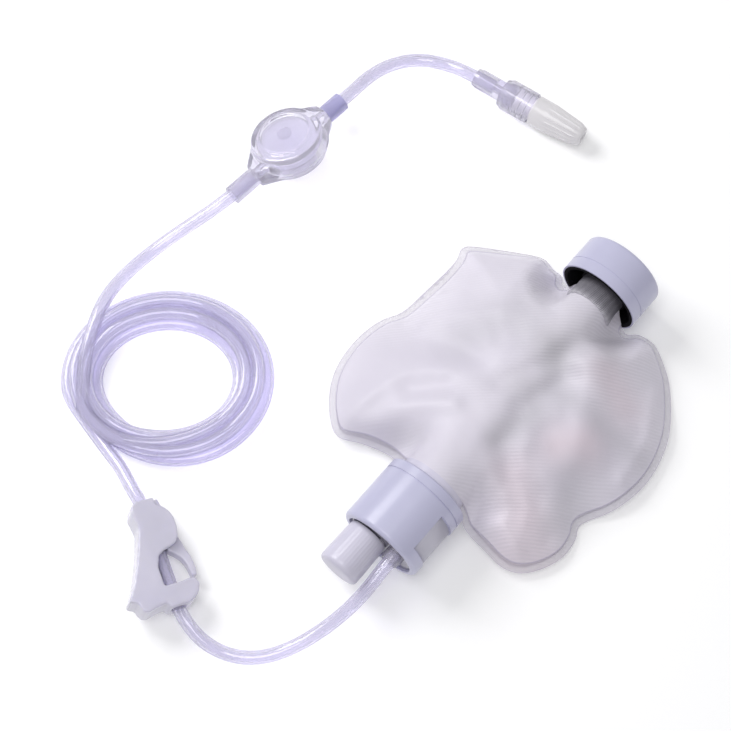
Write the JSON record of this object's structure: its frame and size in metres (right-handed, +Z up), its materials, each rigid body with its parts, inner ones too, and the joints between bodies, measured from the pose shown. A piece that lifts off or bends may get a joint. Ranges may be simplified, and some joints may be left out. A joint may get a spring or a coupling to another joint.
{
  "type": "elastomeric infusion pump with tubing set",
  "caption": "Soft-shell elastomeric infusion pump lying flat, with a capped fill port and a coiled line through a pinch clamp and an in-line filter to a capped luer-lock connector.",
  "frame": {"origin": "on the plane the pump lies on, under the middle of the pump's box, line and its fittings not counted", "axes": "+Y along the pump from fill port to top cap, +Z up from the surface it lies on, +X to the pump's right"},
  "size_m": [0.1606, 0.2003, 0.0257],
  "materials": {
    "cap_plastic": "opaque lavender-white moulded, soft gloss",
    "clear_plastic": "clear moulded, faint lavender tint",
    "frosted_plastic": "translucent white, frosted",
    "film": "milky translucent soft film",
    "balloon": "pale translucent elastomer",
    "seal": "white silicone",
    "tube": "clear flexible tubing, lavender tint",
    "clamp_plastic": "natural translucent white, waxy",
    "membrane": "white microporous sheet",
    "capillary": "drawn glass",
    "vent_grey": "grey porous plug"
  },
  "bodies": {
    "pump": {"lower_cap": "cap_plastic", "lower_clamp_ring": "cap_plastic", "top_cap": "cap_plastic", "port_block": "clear_plastic", "outlet_sleeve": "clear_plastic", "filter_base": "clear_plastic", "filter_cover": "clear_plastic", "filter_inlet_sleeve": "clear_plastic", "filter_outlet_sleeve": "clear_plastic", "luer_socket": "clear_plastic", "luer_tip": "clear_plastic", "top_plug": "clear_plastic", "core_tube": "clear_plastic", "fill_port": "frosted_plastic", "film_cover_upper": "film", "film_cover_lower": "film", "film_neck_lower": "film", "film_neck_upper": "film", "elastomer_reservoir": "balloon", "reservoir_band_lower": "seal", "reservoir_band_upper": "seal", "top_clamp_band": "seal", "outlet_tube": "tube", "pinch_tube": "tube", "coil_lead_tube": "tube", "tubing_coil": "tube", "coil_exit_tube": "tube", "patient_tube": "tube", "clamp_base": "clamp_plastic", "filter_membrane": "membrane", "restrictor_capillary": "capillary", "filter_vent": "vent_grey"},
    "clamp_arm": {"clamp_arm": "clamp_plastic"},
    "fill_cap": {"fill_cap": "frosted_plastic", "fill_cap_liner": "seal"},
    "fill_valve": {"fill_valve_disc": "seal"},
    "luer_collar": {"luer_collar": "clear_plastic"},
    "luer_cap": {"luer_cap": "frosted_plastic", "luer_cap_vent": "vent_grey"}
  },
  "joints": [
    {"name": "clamp_close", "type": "hinge", "parent": "pump", "child": "clamp_arm", "pos_m": [-0.05656, -0.0792, 0.00581], "axis": [-0.1324, -0.2418, -0.9613], "range_deg": [0, 10.5], "stiffness_Nm_per_rad": 0.02, "deforming": ["pinch_tube"]},
    {"name": "fill_cap_pull", "type": "slide", "parent": "pump", "child": "fill_cap", "axis": [0, -1, 0], "range_m": [0, 0.025]},
    {"name": "fill_valve_lift", "type": "slide", "parent": "pump", "child": "fill_valve", "axis": [0, 1, 0], "range_m": [0, 0.0008], "stiffness_N_per_m": 40},
    {"name": "luer_collar_spin", "type": "hinge", "parent": "pump", "child": "luer_collar", "pos_m": [-0.05975, 0.08699, 0.0052], "axis": [0.9903, 0.1392, 0], "continuous": true},
    {"name": "luer_cap_pull", "type": "slide", "parent": "pump", "child": "luer_cap", "axis": [0.9903, 0.1392, 0], "range_m": [0, 0.025]}
  ]
}
